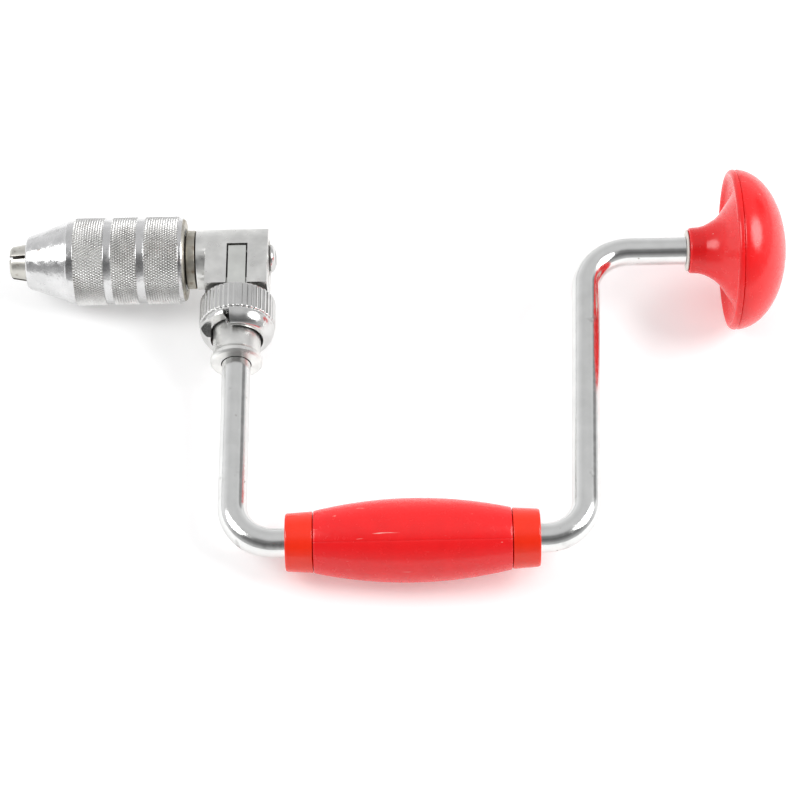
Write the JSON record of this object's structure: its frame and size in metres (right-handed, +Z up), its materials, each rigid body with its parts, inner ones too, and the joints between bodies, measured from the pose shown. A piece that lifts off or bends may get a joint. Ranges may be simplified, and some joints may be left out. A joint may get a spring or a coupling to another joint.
{
  "type": "hand brace drill",
  "caption": "Carpenter's ratchet brace: cranked steel rod with a free-turning mushroom head, a barrel grip, a reversing ratchet and a knurled screw chuck for bits.",
  "frame": {"origin": "middle of the footprint, on the plane that the brace lies on", "axes": "+X from the chuck towards the head, -Y from the spindle towards the grip, +Z up; the brace lies on its head rim, its chuck and its grip, so the spindle climbs 3.2 degrees towards +X"},
  "size_m": [0.3312, 0.1914, 0.0685],
  "materials": {
    "chrome_rod": "bright chrome plate, fine scuffs",
    "plated_casting": "satin nickel plate on a casting",
    "knurled_plate": "knurled and turned, satin nickel plate",
    "tool_steel": "bare hardened steel",
    "dark_steel": "dark steel with traces of rust and old grease",
    "spring_steel": "oiled spring wire",
    "red_plastic": "glossy moulded plastic, finely scuffed",
    "orange_red_plastic": "glossy moulded plastic",
    "nylon": "natural nylon"
  },
  "bodies": {
    "crank": {"crank_rod": "chrome_rod", "ratchet_housing": "plated_casting", "rear_spindle_bush": "dark_steel", "front_spindle_bush": "dark_steel", "housing_pin": "tool_steel", "selector_stop_pin": "tool_steel", "detent_ball": "tool_steel", "front_pawl_spring": "spring_steel", "rear_pawl_spring": "spring_steel", "head_washer": "tool_steel", "head_nut": "tool_steel"},
    "spindle_assembly": {"spindle": "tool_steel", "ratchet_wheel": "tool_steel", "spindle_collar": "dark_steel", "spindle_cap": "knurled_plate"},
    "sleeve_carrier": {"sleeve_stop_ring": "spring_steel"},
    "sleeve": {"chuck_sleeve": "knurled_plate"},
    "first_jaw": {"jaw_1": "tool_steel"},
    "second_jaw": {"jaw_2": "tool_steel"},
    "third_jaw": {"jaw_3": "tool_steel"},
    "fourth_jaw": {"jaw_4": "tool_steel"},
    "front_pawl_slider": {"front_pawl": "plated_casting"},
    "rear_pawl_slider": {"rear_pawl": "plated_casting"},
    "selector": {"selector_ring": "knurled_plate"},
    "head": {"head_base": "red_plastic", "head_cap": "red_plastic", "head_bush": "nylon"},
    "grip": {"grip_shell_inner": "red_plastic", "grip_shell_outer": "red_plastic", "grip_collar_left": "orange_red_plastic", "grip_collar_right": "orange_red_plastic"}
  },
  "joints": [
    {"name": "head_spin", "type": "hinge", "parent": "crank", "child": "head", "pos_m": [0.13262, 0.06162, 0.03377], "axis": [0.9985, 0, 0.0551], "continuous": true},
    {"name": "grip_spin", "type": "hinge", "parent": "crank", "child": "grip", "pos_m": [0.00486, -0.07904, 0.01693], "axis": [0.9985, 0, 0.0551], "continuous": true},
    {"name": "chuck_spin", "type": "hinge", "parent": "crank", "child": "spindle_assembly", "pos_m": [-0.06707, 0.06162, 0.02276], "axis": [0.9985, 0, 0.0551], "continuous": true},
    {"name": "selector_turn", "type": "hinge", "parent": "crank", "child": "selector", "pos_m": [-0.06695, 0.0287, 0.02048], "axis": [-0.0038, 0.9976, 0.0693], "range_deg": [0, 50]},
    {"name": "front_pawl_slide", "type": "slide", "parent": "crank", "child": "front_pawl_slider", "axis": [-0.0038, 0.9976, 0.0693], "range_m": [-0.0025, 0], "deforming": ["front_pawl_spring"]},
    {"name": "rear_pawl_slide", "type": "slide", "parent": "crank", "child": "rear_pawl_slider", "axis": [-0.0038, 0.9976, 0.0693], "range_m": [0, 0.0025], "deforming": ["rear_pawl_spring"]},
    {"name": "sleeve_advance", "type": "slide", "parent": "spindle_assembly", "child": "sleeve_carrier", "axis": [0.9985, 0, 0.0551], "range_m": [-0.0075, 0.0025]},
    {"name": "sleeve_turn", "type": "hinge", "parent": "sleeve_carrier", "child": "sleeve", "pos_m": [-0.12399, 0.06162, 0.01962], "axis": [0.9985, 0, 0.0551], "range_deg": [-1080, 360]},
    {"name": "first_jaw_slide", "type": "slide", "parent": "spindle_assembly", "child": "first_jaw", "axis": [-0.0507, 0.3911, 0.919], "range_m": [-0.0006, 0.0018]},
    {"name": "second_jaw_slide", "type": "slide", "parent": "spindle_assembly", "child": "second_jaw", "axis": [-0.0215, -0.9204, 0.3905], "range_m": [-0.0006, 0.0018]},
    {"name": "third_jaw_slide", "type": "slide", "parent": "spindle_assembly", "child": "third_jaw", "axis": [0.0507, -0.3911, -0.919], "range_m": [-0.0006, 0.0018]},
    {"name": "fourth_jaw_slide", "type": "slide", "parent": "spindle_assembly", "child": "fourth_jaw", "axis": [0.0215, 0.9204, -0.3905], "range_m": [-0.0006, 0.0018]}
  ],
  "couplings": [
    {"joint": "selector_turn", "follows": "front_pawl_slide", "rad_per_m": -349.03},
    {"joint": "rear_pawl_slide", "follows": "front_pawl_slide", "ratio": -1},
    {"joint": "sleeve_turn", "follows": "sleeve_advance", "rad_per_m": 2513.2},
    {"joint": "first_jaw_slide", "follows": "sleeve_advance", "ratio": -0.2342},
    {"joint": "second_jaw_slide", "follows": "sleeve_advance", "ratio": -0.2342},
    {"joint": "third_jaw_slide", "follows": "sleeve_advance", "ratio": -0.2342},
    {"joint": "fourth_jaw_slide", "follows": "sleeve_advance", "ratio": -0.2342}
  ]
}
